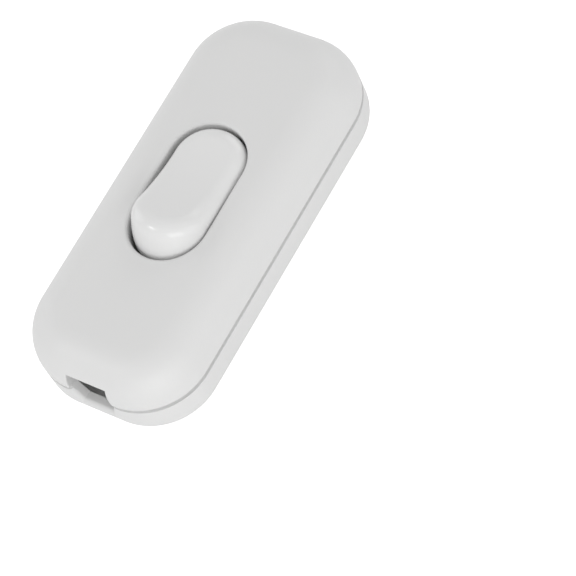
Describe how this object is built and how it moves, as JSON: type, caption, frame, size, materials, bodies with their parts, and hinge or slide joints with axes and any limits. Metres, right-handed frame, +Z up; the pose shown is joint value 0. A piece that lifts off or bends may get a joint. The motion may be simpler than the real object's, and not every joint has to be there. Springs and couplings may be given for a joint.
{
  "type": "inline cord switch",
  "caption": "White inline rocker switch for a lamp cord: long rounded two-shell casing, dished rocker in a stadium opening, cord entry at each end.",
  "frame": {"origin": "centre of the underside, on the surface that the switch lies on", "axes": "+X along the cord towards the pressed end of the rocker, +Y across the casing, +Z up out of the rocker's side"},
  "size_m": [0.0644, 0.0286, 0.018],
  "materials": {
    "casing_white": "satin",
    "rocker_white": "gloss",
    "clamp_white": "matte",
    "brass": "stamped",
    "silver": "satin",
    "plated_steel": "zinc plated",
    "spring_steel": "drawn wire"
  },
  "bodies": {
    "casing": {"cover": "casing_white", "base": "casing_white", "terminal_screws": "plated_steel", "clamp_screws": "plated_steel", "casing_screws": "plated_steel", "cord_clamp_near": "clamp_white", "cord_clamp_far": "clamp_white", "pivot_terminal_left": "brass", "fixed_terminal_left": "brass", "fixed_contact_left": "silver", "pivot_terminal_right": "brass", "fixed_terminal_right": "brass", "fixed_contact_right": "silver"},
    "rocker": {"rocker": "rocker_white", "plunger_spring_left": "spring_steel", "plunger_spring_right": "spring_steel"},
    "plunger_left": {"plunger_left": "plated_steel"},
    "lever_left": {"contact_lever_left": "brass", "lever_contact_left": "silver"},
    "plunger_right": {"plunger_right": "plated_steel"},
    "lever_right": {"contact_lever_right": "brass", "lever_contact_right": "silver"}
  },
  "joints": [
    {"name": "rocker_tilt", "type": "hinge", "parent": "casing", "child": "rocker", "pos_m": [0, 0, 0.0104], "axis": [0, -1, 0], "range_deg": [0, 21]},
    {"name": "lever_left_tilt", "type": "hinge", "parent": "casing", "child": "lever_left", "pos_m": [0, 0.0032, 0.00406], "axis": [0, -1, 0], "range_deg": [-12, 0]},
    {"name": "plunger_left_slide", "type": "slide", "parent": "rocker", "child": "plunger_left", "axis": [0.1822, 0, 0.9833], "range_m": [0, 0.0006], "stiffness_N_per_m": 300, "deforming": ["plunger_spring_left"]},
    {"name": "lever_right_tilt", "type": "hinge", "parent": "casing", "child": "lever_right", "pos_m": [0, -0.0032, 0.00406], "axis": [0, -1, 0], "range_deg": [-12, 0]},
    {"name": "plunger_right_slide", "type": "slide", "parent": "rocker", "child": "plunger_right", "axis": [0.1822, 0, 0.9833], "range_m": [0, 0.0006], "stiffness_N_per_m": 300, "deforming": ["plunger_spring_right"]}
  ],
  "couplings": [
    {"joint": "lever_left_tilt", "follows": "rocker_tilt", "ratio": -0.57143},
    {"joint": "lever_right_tilt", "follows": "rocker_tilt", "ratio": -0.57143}
  ]
}
